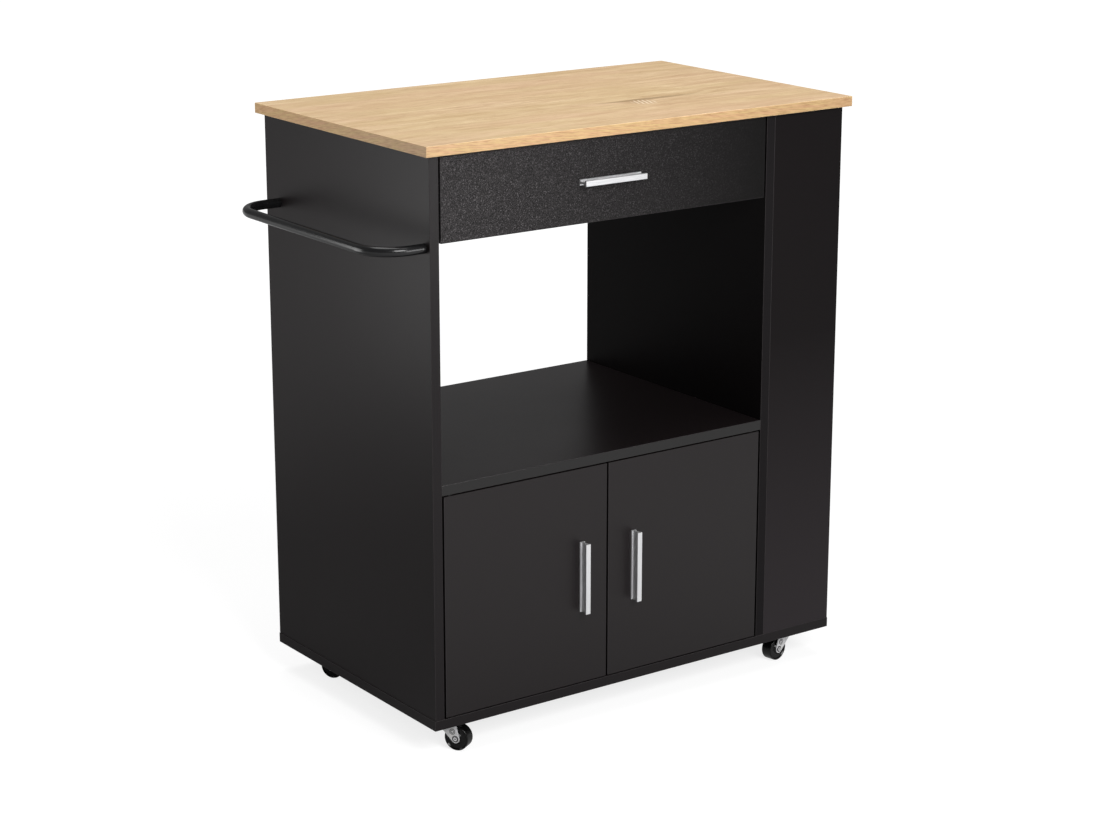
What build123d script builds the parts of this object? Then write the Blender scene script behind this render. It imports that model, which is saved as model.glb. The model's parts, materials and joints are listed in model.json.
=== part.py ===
from build123d import *
from collections import defaultdict
from math import hypot
import os

# Kitchen cart on casters: a drawer over an open niche, a two-door cupboard below it,
# a narrow open-sided shelf tower on the right and a towel rail on the left.
# Millimetres. The model is laid out with X = 0 at the left side panel's outer face,
# Y = 0 at the carcass front and Z = 0 on the floor, and is moved to its origin at the end.

# Carcass
BODY_WIDTH = 730
BODY_DEPTH = 440
BOARD = 15
TOWER_WIDTH = 130
CUPBOARD_HEIGHT = 330
NICHE_HEIGHT = 340
DRAWER_ZONE = 120
TOP_THICKNESS = 15
TOP_OVERHANG = 10
BASE_LIP = 1
ARRIS = 0.8
BACK_THICKNESS = 3
BACK_INSET = 12
GROOVE_DEPTH = 6
GROOVE_CLEARANCE = 0.1

# Tower shelves and guard rails
TOWER_SHELF_COUNT = 3
TOWER_SHELF_SETBACK = 2
GUARD_RAIL_DIAMETER = 8
GUARD_RAIL_LIFT = 45
GUARD_RAIL_INSET = 9
GUARD_RAIL_SEAT = 8

# Drawer
FRONT_GAP = 3
DRAWER_TOP_GAP = 3
DRAWER_BOTTOM_DROP = 1
DRAWER_SIDE_THICKNESS = 12
DRAWER_SIDE_LIFT = 7
DRAWER_SIDE_HEADROOM = 23
DRAWER_REAR_ROOM = 25
DRAWER_BOTTOM_THICKNESS = 3
DRAWER_BOTTOM_LIFT = 10
REAR_RAIL_THICKNESS = 15
DRAWER_DOWEL_SHARES = (0.4, 0.8)

# Roller runners
RUNNER_SPACE = 13
RUNNER_STEEL = 1.2
RUNNER_HEIGHT = 26
RUNNER_CLEARANCE = 1.8
RUNNER_FRONT_GAP = 3
DRAWER_RUNNER_LEG = 24
DRAWER_RUNNER_FOOT = 10
DRAWER_RUNNER_WING_GAP = 2
ROLLER_RADIUS = 5.5
ROLLER_WIDTH = 5.5
ROLLER_PLAY = 0.3
ROLLER_CHAMFER = 0.5
ROLLER_PIN_RADIUS = 1.5
ROLLER_PIN_HEAD_RADIUS = 2.5
ROLLER_PIN_HEAD_HEIGHT = 0.8
FRONT_ROLLER_SETBACK = 14
REAR_ROLLER_SETBACK = 14
RUNNER_SCREW_SHARES = (0.18, 0.55, 0.9)
DRAWER_RUNNER_SCREW_SHARES = (0.25, 0.75)
DRAWER_RUNNER_SCREW_GAP = 0.6

# Doors
DOOR_GAP = 3
DOOR_BOTTOM_GAP = 2
DOOR_TOP_GAP = 2
DOOR_EDGE_RADIUS = 1
PIVOT_SETBACK = 12
PIVOT_RADIUS = 2.5
PIVOT_COLLAR_RADIUS = 5
PIVOT_COLLAR_PLAY = 0.3

# Magnetic catches
CATCH_LENGTH = 46
CATCH_DEPTH = 14
CATCH_HEIGHT = 13
CATCH_OFFSET = 32
CATCH_ROUND = 2
CATCH_EAR = 1.2
CATCH_SCREW_SPACING = 33
STRIKE_WIDTH = 32
STRIKE_HEIGHT = 10
STRIKE_DROP = 0.5
STRIKE_THICKNESS = 1.2
STRIKE_TO_CATCH = 0.3
STRIKE_ROUND = 2

# Bar handles
HANDLE_LENGTH = 106
HANDLE_REACH = 17
HANDLE_PLATE_WIDTH = 8
HANDLE_PLATE_THICKNESS = 3
HANDLE_FLANGE_THICKNESS = 2.5
HANDLE_WEB = 4.6
HANDLE_WAIST = 3
HANDLE_SCREW_INSET = 5
HANDLE_FROM_EDGE = 45
HANDLE_SCREW_RADIUS = 1.5
HANDLE_SCREW_GRIP = 9
HANDLE_SCREW_HEAD_HEIGHT = 1.8
HANDLE_ROUND = 0.6

# Towel rail
RAIL_DIAMETER = 14
RAIL_REACH = 80
RAIL_BEND = 49
RAIL_FRONT = 14
RAIL_REAR = 36
RAIL_DROP = 7
RAIL_BOLT_RADIUS = 3
RAIL_BOLT_GRIP = 22
RAIL_BOLT_HEAD_RADIUS = 6
RAIL_BOLT_HEAD_HEIGHT = 3
RAIL_BOLT_HEAD_ROUND = 1.8
RAIL_BOLT_SOCKET_RADIUS = 2
RAIL_BOLT_SOCKET_DEPTH = 1.5

# Casters
WHEEL_RADIUS = 18.5
WHEEL_WIDTH = 18
WHEEL_SHOULDER = 1.6
WHEEL_HUB_RADIUS = 9
WHEEL_DISH = 1.6
CASTER_TRAIL = 15.5
CASTER_PLATE_LENGTH = 38
CASTER_PLATE_WIDTH = 32
CASTER_PLATE_THICKNESS = 1.6
CASTER_PLATE_CORNER = 4
CASTER_SCREW_INSET = 5
CASTER_RACE_RADIUS = 11
CASTER_RACE_HEIGHT = 2
KINGPIN_RADIUS = 3
KINGPIN_HEAD_RADIUS = 5
KINGPIN_HEAD_HEIGHT = 1.4
FORK_STEEL = 1.5
FORK_GAP = 0.7
FORK_EYE_RADIUS = 6.3
FORK_REAR_REACH = 16
FORK_FRONT_REACH = 16
FORK_HEADROOM = 2.85
FORK_DIMPLE_RADIUS = 3.8
FORK_DIMPLE_RIM = 1.2
FORK_DIMPLE_RISE = 0.4
FORK_DIMPLE_FORWARD = 11
AXLE_RADIUS = 2.5
AXLE_HEAD_RADIUS = 4
AXLE_HEAD_HEIGHT = 0.8
AXLE_HEAD_ROUND = 0.56
AXLE_RECESS = 1.2
CASTER_FRONT_INSET = 34
CASTER_REAR_INSET = 62
CASTER_LEFT_INSET = 44
CASTER_RIGHT_INSET = 66
TRAIL_ANGLES = {"front_left": -60, "front_right": 190, "rear_left": -60, "rear_right": 150}

# Fasteners
FIT = 0.05
CAM_RADIUS = 7.5
CAM_FLOOR = 2.5
CAM_DISTANCE = 34
CAM_BOLT_RADIUS = 3
CAM_BOLT_THREAD_RADIUS = 2.5
CAM_BOLT_HEAD_RADIUS = 3.2
CAM_BOLT_HEAD_LENGTH = 3.5
CAM_BOLT_HEAD_BACK = 2
CAM_BOLT_NECK_RADIUS = 1.8
CAM_SLOT_SPARE = 1
CAM_DRIVE_LENGTH = 6
CAM_DRIVE_WIDTH = 1.2
DOWEL_RADIUS = 4
DOWEL_EDGE_DEPTH = 20
SMALL_DOWEL_RADIUS = 3
BLIND_WALL = 4.5
HOLE_SPARE = 0.4
SCREW_RECESS_DEPTH = 0.6
SCREW_RECESS_RADIUS = 1.1
BASE_SCREW_RADIUS = 3.2
BASE_SCREW_LENGTH = 50
BASE_SCREW_HEAD_RADIUS = 5
BASE_SCREW_HEAD_HEIGHT = 4
BASE_SCREW_RECESS_DEPTH = 2
BASE_SCREW_RECESS_RADIUS = 1.6
WOOD_SCREW_RADIUS = 1.75
WOOD_SCREW_HEAD_RADIUS = 3.4
WOOD_SCREW_HEAD_HEIGHT = 1.2
JOINT_INSET = 60
DOWEL_INSET = 145
REAR_RAIL_CAM_SHARES = (0.25, 0.75)
TOWER_CAM_SHARES = (0.12, 0.47, 0.86)
TOWER_DOWEL_SHARES = (0.3, 0.7)

# Levels and planes that follow from the sizes above
base_bottom = (2 * WHEEL_RADIUS + FORK_HEADROOM + FORK_STEEL + FIT + CASTER_RACE_HEIGHT
               + CASTER_PLATE_THICKNESS)
base_top = base_bottom + BOARD
shelf_bottom = base_top + CUPBOARD_HEIGHT
shelf_top = shelf_bottom + BOARD
drawer_zone_bottom = shelf_top + NICHE_HEIGHT
panel_top = drawer_zone_bottom + DRAWER_ZONE
worktop = panel_top + TOP_THICKNESS

left_inner = BOARD
partition_left = BODY_WIDTH - TOWER_WIDTH - BOARD
partition_right = partition_left + BOARD
opening_middle = (left_inner + partition_left) / 2
tower_middle = (partition_right + BODY_WIDTH) / 2
tower_inner_front = BOARD
tower_inner_back = BODY_DEPTH - BOARD
rear_rail_front = BODY_DEPTH - REAR_RAIL_THICKNESS

# Holes to drill in each named board, and the hardware that the joints collect
holes = defaultdict(list)
hardware = defaultdict(list)


def block(x0, x1, y0, y1, z0, z1):
    """Rectangular block between two corners."""
    centre = Pos((x0 + x1) / 2, (y0 + y1) / 2, (z0 + z1) / 2)
    return centre * Box(x1 - x0, y1 - y0, z1 - z0)


def eased(shape, radius):
    """The same shape with every edge rounded."""
    return fillet(shape.edges(), radius)


def rod(start, direction, length, radius):
    """Round bar that begins at start and runs along direction."""
    place = Plane(origin=start, z_dir=direction).location
    return place * Cylinder(radius, length, align=(Align.CENTER, Align.CENTER, Align.MIN))


def along(point, direction, distance):
    """Point at a distance from another along a direction."""
    return tuple(p + d * distance for p, d in zip(point, direction))


def drilled(name, shape):
    """The board with the holes that its joints asked for."""
    for hole in holes[name]:
        shape -= hole
    return shape


def pieces(shapes):
    """Several separate solids as one shape."""
    solids = [Compound(s.wrapped) if isinstance(s, Compound) else s for s in shapes]
    return Compound(children=solids)


def cam_joint(face_board, edge_board, point, inward, cam_face,
              face_thickness=BOARD, edge_thickness=BOARD):
    """A bolt screwed into face_board and locked by a cam in edge_board.

    point lies on the meeting plane at the middle of the edge board's thickness, inward runs
    into the edge board, and cam_face is the outward side of the edge board that holds the cam.
    """
    outward = tuple(-d for d in inward)
    reach = CAM_DISTANCE - CAM_RADIUS
    thread = face_thickness - BLIND_WALL
    cam_height = edge_thickness - CAM_FLOOR
    head_start = along(point, inward, CAM_DISTANCE - CAM_BOLT_HEAD_BACK)
    bolt = rod(along(point, outward, thread), inward, thread, CAM_BOLT_THREAD_RADIUS)
    bolt += rod(point, inward, reach, CAM_BOLT_RADIUS)
    bolt += rod(along(point, inward, reach), inward, CAM_RADIUS - CAM_BOLT_HEAD_BACK,
                CAM_BOLT_NECK_RADIUS)
    bolt += rod(head_start, inward, CAM_BOLT_HEAD_LENGTH, CAM_BOLT_HEAD_RADIUS)
    hardware["cam_bolts"].append(bolt)

    centre = along(point, inward, CAM_DISTANCE)
    mouth = along(centre, cam_face, edge_thickness / 2)
    into_board = tuple(-d for d in cam_face)
    cam = rod(mouth, into_board, cam_height, CAM_RADIUS)
    slot_depth = cam_height - edge_thickness / 2 + CAM_BOLT_HEAD_RADIUS + CAM_SLOT_SPARE
    slot_half = CAM_BOLT_HEAD_RADIUS + FIT
    slot_end = CAM_BOLT_HEAD_LENGTH - CAM_BOLT_HEAD_BACK + CAM_SLOT_SPARE
    cam_foot = Plane(origin=along(mouth, into_board, cam_height), x_dir=inward, z_dir=cam_face).location
    slot = cam_foot * block(-CAM_RADIUS, slot_end, -slot_half, slot_half, 0, slot_depth)
    cross = [Box(CAM_DRIVE_LENGTH, CAM_DRIVE_WIDTH, 2 * SCREW_RECESS_DEPTH),
             Box(CAM_DRIVE_WIDTH, CAM_DRIVE_LENGTH, 2 * SCREW_RECESS_DEPTH)]
    drive = cam_foot * Pos(0, 0, cam_height) * (cross[0] + cross[1])
    hardware["cam_locks"].append(cam - slot - drive)

    holes[face_board].append(rod(point, outward, thread + HOLE_SPARE, CAM_BOLT_THREAD_RADIUS + FIT))
    holes[edge_board].append(rod(point, inward, CAM_DISTANCE, CAM_BOLT_RADIUS + FIT))
    holes[edge_board].append(rod(mouth, into_board, cam_height + FIT, CAM_RADIUS + FIT))


def dowel_joint(face_board, edge_board, point, inward, face_thickness=BOARD,
                group="wooden_dowels", radius=DOWEL_RADIUS):
    """A wooden dowel that sits in the face of one board and the edge of another."""
    outward = tuple(-d for d in inward)
    face_depth = face_thickness - BLIND_WALL
    start = along(point, outward, face_depth)
    hardware[group].append(rod(start, inward, face_depth + DOWEL_EDGE_DEPTH, radius))
    holes[face_board].append(rod(point, outward, face_depth + HOLE_SPARE, radius + FIT))
    holes[edge_board].append(rod(point, inward, DOWEL_EDGE_DEPTH + HOLE_SPARE, radius + FIT))


def base_screw(panel, x, y):
    """A long screw from under the base board up into the end of a panel."""
    start = (x, y, base_bottom)
    screw = rod(start, (0, 0, 1), BASE_SCREW_LENGTH, BASE_SCREW_RADIUS)
    screw += rod(start, (0, 0, 1), BASE_SCREW_HEAD_HEIGHT, BASE_SCREW_HEAD_RADIUS)
    screw -= rod(start, (0, 0, 1), BASE_SCREW_RECESS_DEPTH, BASE_SCREW_RECESS_RADIUS)
    hardware["base_screws"].append(screw)
    bore = rod(start, (0, 0, 1), BASE_SCREW_LENGTH + HOLE_SPARE, BASE_SCREW_RADIUS + FIT)
    holes["base_board"].append(bore)
    holes["base_board"].append(rod(start, (0, 0, 1), BASE_SCREW_HEAD_HEIGHT + FIT,
                                   BASE_SCREW_HEAD_RADIUS + FIT))
    holes[panel].append(bore)


def wood_screw(name, seat, direction, group, thickness=BOARD):
    """A pan-head screw whose head sits on seat and whose shank runs along direction."""
    back = tuple(-d for d in direction)
    length = thickness - BLIND_WALL
    screw = rod(seat, direction, length, WOOD_SCREW_RADIUS)
    screw += rod(seat, back, WOOD_SCREW_HEAD_HEIGHT, WOOD_SCREW_HEAD_RADIUS)
    top = along(seat, back, WOOD_SCREW_HEAD_HEIGHT)
    screw -= rod(top, direction, SCREW_RECESS_DEPTH, SCREW_RECESS_RADIUS)
    hardware[group].append(screw)
    holes[name].append(rod(seat, direction, length + HOLE_SPARE, WOOD_SCREW_RADIUS + FIT))


# Carcass joints
def join_carcass():
    near, far = JOINT_INSET, BODY_DEPTH - JOINT_INSET
    dowel_near, dowel_far = DOWEL_INSET, BODY_DEPTH - DOWEL_INSET
    shelf_middle = shelf_bottom + BOARD / 2
    sides = (("left_side_panel", left_inner, 1), ("partition_panel", partition_left, -1))

    for panel, face, way in sides:
        for y in (near, far):
            cam_joint(panel, "middle_shelf", (face, y, shelf_middle), (way, 0, 0), (0, 0, -1))
        for y in (dowel_near, dowel_far):
            dowel_joint(panel, "middle_shelf", (face, y, shelf_middle), (way, 0, 0))
        rail_middle = rear_rail_front + REAR_RAIL_THICKNESS / 2
        for share in REAR_RAIL_CAM_SHARES:
            z = drawer_zone_bottom + DRAWER_ZONE * share
            cam_joint(panel, "drawer_rear_rail", (face, rail_middle, z), (way, 0, 0), (0, -1, 0),
                      edge_thickness=REAR_RAIL_THICKNESS)
        z = drawer_zone_bottom + DRAWER_ZONE / 2
        dowel_joint(panel, "drawer_rear_rail", (face, rail_middle, z), (way, 0, 0))

    uprights = (("left_side_panel", BOARD / 2, (1, 0, 0)),
                ("partition_panel", partition_left + BOARD / 2, (1, 0, 0)))
    for panel, x, cam_face in uprights:
        for y in (near, far):
            cam_joint("top_board", panel, (x, y, panel_top), (0, 0, -1), cam_face, TOP_THICKNESS)
            base_screw(panel, x, y)
        for y in (dowel_near, dowel_far):
            dowel_joint("top_board", panel, (x, y, panel_top), (0, 0, -1), TOP_THICKNESS)
            dowel_joint("base_board", panel, (x, y, base_top), (0, 0, 1))

    tower_boards = (("tower_front_panel", BOARD / 2, (0, 1, 0)),
                    ("tower_back_panel", BODY_DEPTH - BOARD / 2, (0, -1, 0)))
    tower_height = panel_top - base_top
    for name, y, cam_face in tower_boards:
        cam_joint("top_board", name, (tower_middle, y, panel_top), (0, 0, -1), cam_face, TOP_THICKNESS)
        base_screw(name, tower_middle, y)
        for share in TOWER_CAM_SHARES:
            z = base_top + tower_height * share
            cam_joint("partition_panel", name, (partition_right, y, z), (1, 0, 0), cam_face)
        for share in TOWER_DOWEL_SHARES:
            z = base_top + tower_height * share
            dowel_joint("partition_panel", name, (partition_right, y, z), (1, 0, 0))

    for index, level in enumerate(tower_levels()):
        middle = level - BOARD / 2
        name = tower_shelf_name(index)
        for y in (tower_inner_front + JOINT_INSET, tower_inner_back - JOINT_INSET):
            cam_joint("partition_panel", name, (partition_right, y, middle), (1, 0, 0), (0, 0, -1))
        dowel_joint("partition_panel", name, (partition_right, BODY_DEPTH / 2, middle), (1, 0, 0))


def tower_levels():
    """Upper faces of the tower's shelves, evenly spaced between the base and the top."""
    clear = (panel_top - base_top) / (TOWER_SHELF_COUNT + 1)
    return [base_top + clear * (i + 1) + BOARD / 2 for i in range(TOWER_SHELF_COUNT)]


def tower_shelf_name(index):
    """Shelves are numbered from the bottom up."""
    return f"tower_shelf_{index + 1}"


def back_panel_block(spare=0.0):
    """The cupboard's thin back, or the slot it sits in when spare is given."""
    front = BODY_DEPTH - BACK_INSET - BACK_THICKNESS
    depth = GROOVE_DEPTH + spare
    return block(left_inner - depth, partition_left + depth,
                 front - spare, front + BACK_THICKNESS + spare,
                 base_top - depth, shelf_bottom + depth)


def board(name, x0, x1, y0, y1, z0, z1):
    """A melamine board with lightly eased edges and its drilled holes."""
    return drilled(name, eased(block(x0, x1, y0, y1, z0, z1), ARRIS))


def carcass_boards():
    """Every fixed board of the carcass, by name."""
    groove = back_panel_block(GROOVE_CLEARANCE)
    for name in ("left_side_panel", "partition_panel", "base_board", "middle_shelf"):
        holes[name].append(groove)
    made = {
        "top_board": board("top_board", -TOP_OVERHANG, BODY_WIDTH + TOP_OVERHANG, -TOP_OVERHANG,
                           BODY_DEPTH + TOP_OVERHANG, panel_top, worktop),
        "base_board": board("base_board", -BASE_LIP, BODY_WIDTH + BASE_LIP, 0, BODY_DEPTH,
                            base_bottom, base_top),
        "left_side_panel": board("left_side_panel", 0, left_inner, 0, BODY_DEPTH, base_top, panel_top),
        "partition_panel": board("partition_panel", partition_left, partition_right, 0, BODY_DEPTH,
                                 base_top, panel_top),
        "middle_shelf": board("middle_shelf", left_inner, partition_left, 0, BODY_DEPTH,
                              shelf_bottom, shelf_top),
        "drawer_rear_rail": board("drawer_rear_rail", left_inner, partition_left, rear_rail_front,
                                  BODY_DEPTH, drawer_zone_bottom, panel_top),
        "tower_front_panel": board("tower_front_panel", partition_right, BODY_WIDTH, 0,
                                   tower_inner_front, base_top, panel_top),
        "tower_back_panel": board("tower_back_panel", partition_right, BODY_WIDTH, tower_inner_back,
                                  BODY_DEPTH, base_top, panel_top),
        "cupboard_back_panel": back_panel_block(),
    }
    for index, level in enumerate(tower_levels()):
        name = tower_shelf_name(index)
        made[name] = board(name, partition_right, BODY_WIDTH - TOWER_SHELF_SETBACK,
                           tower_inner_front, tower_inner_back, level - BOARD, level)
    return made


def guard_rails():
    """Round rails across the open side of the tower, one above each of its floors."""
    x = BODY_WIDTH - GUARD_RAIL_INSET
    radius = GUARD_RAIL_DIAMETER / 2
    start = tower_inner_front - GUARD_RAIL_SEAT
    length = tower_inner_back - tower_inner_front + 2 * GUARD_RAIL_SEAT
    rails = []
    for floor in [base_top, *tower_levels()]:
        z = floor + GUARD_RAIL_LIFT
        rails.append(rod((x, start, z), (0, 1, 0), length, radius))
        socket = rod((x, start - HOLE_SPARE, z), (0, 1, 0), length + 2 * HOLE_SPARE,
                     radius + FIT)
        holes["tower_front_panel"].append(socket)
        holes["tower_back_panel"].append(socket)
    return pieces(rails)


def towel_rail():
    """A round bar bent into a U, threaded at both ends for bolts through the side panel."""
    reach = RAIL_REACH - RAIL_DIAMETER / 2
    rear = BODY_DEPTH - RAIL_REAR
    height = drawer_zone_bottom - RAIL_DROP
    route = FilletPolyline((0, RAIL_FRONT, height), (-reach, RAIL_FRONT, height),
                           (-reach, rear, height), (0, rear, height), radius=RAIL_BEND)
    section = Plane(origin=(0, RAIL_FRONT, height), z_dir=(-1, 0, 0)) * Circle(RAIL_DIAMETER / 2)
    rail = sweep(section, path=route)
    bolts = []
    for y in (RAIL_FRONT, rear):
        seat = (left_inner, y, height)
        shank = BOARD + RAIL_BOLT_GRIP
        bolt = rod(seat, (-1, 0, 0), shank, RAIL_BOLT_RADIUS)
        head = rod(seat, (1, 0, 0), RAIL_BOLT_HEAD_HEIGHT, RAIL_BOLT_HEAD_RADIUS)
        head = fillet(head.edges().sort_by(Axis.X)[-1], RAIL_BOLT_HEAD_ROUND)
        head_face = Plane(origin=along(seat, (1, 0, 0), RAIL_BOLT_HEAD_HEIGHT), z_dir=(1, 0, 0))
        hexagon = head_face * RegularPolygon(RAIL_BOLT_SOCKET_RADIUS, 6)
        bolts.append(bolt + head - extrude(hexagon, -RAIL_BOLT_SOCKET_DEPTH))
        bore = rod(seat, (-1, 0, 0), shank + HOLE_SPARE, RAIL_BOLT_RADIUS + FIT)
        holes["left_side_panel"].append(bore)
        rail -= bore
    return rail, pieces(bolts)


# Drawer
drawer_front_bottom = drawer_zone_bottom - DRAWER_BOTTOM_DROP
drawer_front_top = panel_top - DRAWER_TOP_GAP
drawer_side_bottom = drawer_zone_bottom + DRAWER_SIDE_LIFT
drawer_side_top = panel_top - DRAWER_SIDE_HEADROOM
drawer_left = left_inner + RUNNER_SPACE
drawer_right = partition_left - RUNNER_SPACE
drawer_box_front = BOARD
drawer_box_back = rear_rail_front - DRAWER_REAR_ROOM
drawer_floor = drawer_side_bottom + DRAWER_BOTTOM_LIFT


def drawer_bottom_block(spare=0.0):
    """The drawer's thin bottom, or its grooves when spare is given."""
    depth = GROOVE_DEPTH + spare
    return block(drawer_left + DRAWER_SIDE_THICKNESS - depth,
                 drawer_right - DRAWER_SIDE_THICKNESS + depth,
                 drawer_box_front - depth, drawer_box_back - DRAWER_SIDE_THICKNESS + depth,
                 drawer_floor - spare, drawer_floor + DRAWER_BOTTOM_THICKNESS + spare)


def drawer_boards():
    """Front, sides, back and bottom of the drawer box, by name."""
    side_middle = DRAWER_SIDE_THICKNESS / 2
    back_middle = drawer_box_back - DRAWER_SIDE_THICKNESS / 2
    sides = {"drawer_side_left": (drawer_left, 1), "drawer_side_right": (drawer_right, -1)}
    for name, (outer, way) in sides.items():
        for share in DRAWER_DOWEL_SHARES:
            z = drawer_side_bottom + (drawer_side_top - drawer_side_bottom) * share
            dowel_joint("drawer_front", name, (outer + way * side_middle, drawer_box_front, z),
                        (0, 1, 0), BOARD, "drawer_dowels", SMALL_DOWEL_RADIUS)
            dowel_joint(name, "drawer_back", (outer + way * DRAWER_SIDE_THICKNESS, back_middle, z),
                        (way, 0, 0), DRAWER_SIDE_THICKNESS, "drawer_dowels", SMALL_DOWEL_RADIUS)
    groove = drawer_bottom_block(GROOVE_CLEARANCE)
    for name in ("drawer_front", "drawer_back", *sides):
        holes[name].append(groove)
    made = {
        "drawer_front": board("drawer_front", left_inner + FRONT_GAP, partition_left - FRONT_GAP,
                              0, BOARD, drawer_front_bottom, drawer_front_top),
        "drawer_back": board("drawer_back", drawer_left + DRAWER_SIDE_THICKNESS,
                             drawer_right - DRAWER_SIDE_THICKNESS,
                             drawer_box_back - DRAWER_SIDE_THICKNESS, drawer_box_back,
                             drawer_side_bottom, drawer_side_top),
        "drawer_bottom": drawer_bottom_block(),
    }
    for name, (outer, way) in sides.items():
        inner = outer + way * DRAWER_SIDE_THICKNESS
        made[name] = board(name, min(outer, inner), max(outer, inner), drawer_box_front,
                           drawer_box_back, drawer_side_bottom, drawer_side_top)
    return made


# Roller runners
runner_back = drawer_box_back
runner_front = BOARD + RUNNER_FRONT_GAP
runner_bottom = drawer_side_bottom
roller_height = runner_bottom + RUNNER_STEEL + ROLLER_PLAY / 2 + ROLLER_RADIUS
wing_bottom = roller_height + ROLLER_RADIUS + ROLLER_PLAY
front_roller_y = runner_front + FRONT_ROLLER_SETBACK
rear_roller_y = runner_back - REAR_ROLLER_SETBACK


def roller(x_start, way, y):
    """Nylon roller on its pin, with the rivet head that keeps it on."""
    bore = rod((x_start, y, roller_height), (way, 0, 0), ROLLER_WIDTH, ROLLER_PIN_RADIUS + FIT)
    wheel = rod((x_start, y, roller_height), (way, 0, 0), ROLLER_WIDTH, ROLLER_RADIUS)
    return chamfer(wheel.edges(), ROLLER_CHAMFER) - bore


def roller_pin(plate_face, way, y):
    """Pin that carries a roller from the plate it is riveted to."""
    length = ROLLER_PLAY + ROLLER_WIDTH + ROLLER_PLAY
    pin = rod((plate_face, y, roller_height), (way, 0, 0), length, ROLLER_PIN_RADIUS)
    head_start = (plate_face + way * length, y, roller_height)
    return pin + rod(head_start, (way, 0, 0), ROLLER_PIN_HEAD_HEIGHT, ROLLER_PIN_HEAD_RADIUS)


def runner_set(panel, panel_face, way):
    """Cabinet member, drawer member, front roller and rear roller of one side.

    way is +1 on the left side, where the drawer lies towards +X of the panel, and -1 on the right.
    """
    def span(near, far, y0, y1, z0, z1):
        """Block measured from the panel's face towards the drawer."""
        a, b = panel_face + way * near, panel_face + way * far
        return block(min(a, b), max(a, b), y0, y1, z0, z1)

    top = runner_bottom + RUNNER_HEIGHT
    leg_outer = RUNNER_SPACE - RUNNER_STEEL
    flange = leg_outer - RUNNER_CLEARANCE
    cabinet = span(0, RUNNER_STEEL, runner_front, runner_back, runner_bottom, top)
    cabinet += span(0, flange, runner_front, runner_back, runner_bottom, runner_bottom + RUNNER_STEEL)
    cabinet += span(0, flange, runner_front, runner_back, top - RUNNER_STEEL, top)
    cabinet += roller_pin(panel_face + way * RUNNER_STEEL, way, front_roller_y)
    front_roller = roller(panel_face + way * (RUNNER_STEEL + ROLLER_PLAY), way, front_roller_y)

    foot_bottom = drawer_side_bottom - RUNNER_STEEL
    drawer = span(leg_outer, RUNNER_SPACE, drawer_box_front, runner_back, foot_bottom,
                  foot_bottom + DRAWER_RUNNER_LEG)
    drawer += span(leg_outer, RUNNER_SPACE + DRAWER_RUNNER_FOOT, drawer_box_front, runner_back,
                   foot_bottom, drawer_side_bottom)
    drawer += span(RUNNER_STEEL + DRAWER_RUNNER_WING_GAP, leg_outer, drawer_box_front, runner_back,
                   wing_bottom, wing_bottom + RUNNER_STEEL)
    leg_face = panel_face + way * leg_outer
    drawer += roller_pin(leg_face, -way, rear_roller_y)
    rear_roller = roller(leg_face - way * ROLLER_PLAY, -way, rear_roller_y)

    screw_z = (wing_bottom + 2 * RUNNER_STEEL + top) / 2
    for share in RUNNER_SCREW_SHARES:
        y = runner_front + (runner_back - runner_front) * share
        seat = (panel_face + way * RUNNER_STEEL, y, screw_z)
        wood_screw(panel, seat, (-way, 0, 0), "wood_screws")
        cabinet -= rod((panel_face, y, screw_z), (way, 0, 0), RUNNER_STEEL, WOOD_SCREW_RADIUS + FIT)
    return cabinet, drawer, front_roller, rear_roller


def drawer_runner_screws(side, side_face, way, member):
    """Screws that hold a drawer member against the drawer's side, above its wing."""
    z = wing_bottom + RUNNER_STEEL + WOOD_SCREW_HEAD_RADIUS + DRAWER_RUNNER_SCREW_GAP
    for share in DRAWER_RUNNER_SCREW_SHARES:
        y = drawer_box_front + (drawer_box_back - drawer_box_front) * share
        seat = (side_face - way * RUNNER_STEEL, y, z)
        wood_screw(side, seat, (way, 0, 0), "drawer_runner_screws", DRAWER_SIDE_THICKNESS)
        member -= rod(seat, (way, 0, 0), RUNNER_STEEL, WOOD_SCREW_RADIUS + FIT)
    return member


# Doors
door_width = (partition_left - left_inner - 3 * DOOR_GAP) / 2
door_bottom = base_top + DOOR_BOTTOM_GAP
door_top = shelf_bottom - DOOR_TOP_GAP
door_middle_z = (door_bottom + door_top) / 2
pivot_depth = BOARD - BLIND_WALL
door_edges = {"left": (left_inner + DOOR_GAP, 1), "right": (partition_left - DOOR_GAP, -1)}


def pivot_x(side):
    """Pivot axis of a door, set back from its hinged edge."""
    edge, way = door_edges[side]
    return edge + way * PIVOT_SETBACK


def pivot_pins():
    """Steel pins in the base and under the shelf that the doors turn on."""
    pins = []
    for side in door_edges:
        x = pivot_x(side)
        levels = (("base_board", base_top, 1, DOOR_BOTTOM_GAP),
                  ("middle_shelf", shelf_bottom, -1, DOOR_TOP_GAP))
        for board_name, z, way, gap in levels:
            axis = (0, 0, way)
            seat = (x, BOARD / 2, z)
            pin = rod(along(seat, axis, -pivot_depth), axis, 2 * pivot_depth + gap, PIVOT_RADIUS)
            pin += rod(seat, axis, gap - PIVOT_COLLAR_PLAY, PIVOT_COLLAR_RADIUS)
            pins.append(pin)
            bore = pivot_depth + HOLE_SPARE
            holes[board_name].append(rod(seat, (0, 0, -way), bore, PIVOT_RADIUS + FIT))
            holes[f"{side}_door"].append(rod(along(seat, axis, gap), axis, bore, PIVOT_RADIUS + FIT))
    return pieces(pins)


def door(side):
    """Flat inset door with rounded upright edges."""
    edge, way = door_edges[side]
    other = edge + way * door_width
    panel = block(min(edge, other), max(edge, other), 0, BOARD, door_bottom, door_top)
    panel = fillet(panel.edges().filter_by(Axis.Z), DOOR_EDGE_RADIUS)
    return drilled(f"{side}_door", panel)


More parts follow.
